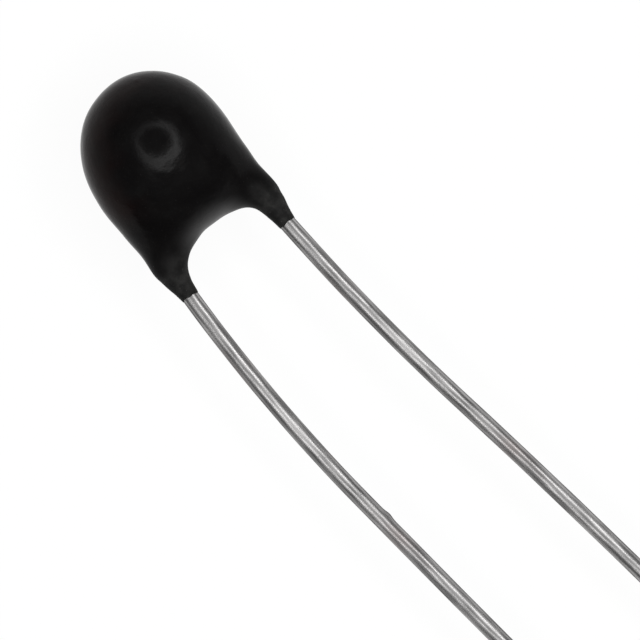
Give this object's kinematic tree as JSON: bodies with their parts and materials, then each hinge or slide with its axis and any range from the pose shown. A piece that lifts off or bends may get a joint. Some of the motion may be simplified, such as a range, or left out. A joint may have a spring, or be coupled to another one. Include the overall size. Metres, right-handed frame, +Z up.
{
  "type": "thermistor",
  "caption": "Small epoxy-dipped bead thermistor with a round head, tapered legs and long bare tinned wires, lying on its side.",
  "frame": {"origin": "middle of the part's outline seen from above, on the surface it lies on", "axes": "+Y along the wires' free ends towards the bead, +Z up from the surface, +X towards the right wire"},
  "size_m": [0.0034, 0.0298, 0.0025],
  "materials": {
    "epoxy_coat": "smooth dipped epoxy with a soft sheen",
    "chip_ceramic": "sintered metal oxide, dull",
    "fired_silver": "fired silver paste, matt",
    "solder": "reflowed tin solder, satin",
    "tinned_wire": "drawn tinned copper, satin, with fine lengthwise streaks"
  },
  "bodies": {
    "root": {"coating": "epoxy_coat", "thermistor_chip": "chip_ceramic", "front_electrode": "fired_silver", "back_electrode": "fired_silver", "front_solder_joint": "solder", "back_solder_joint": "solder", "left_lead": "tinned_wire", "right_lead": "tinned_wire"}
  },
  "joints": []
}
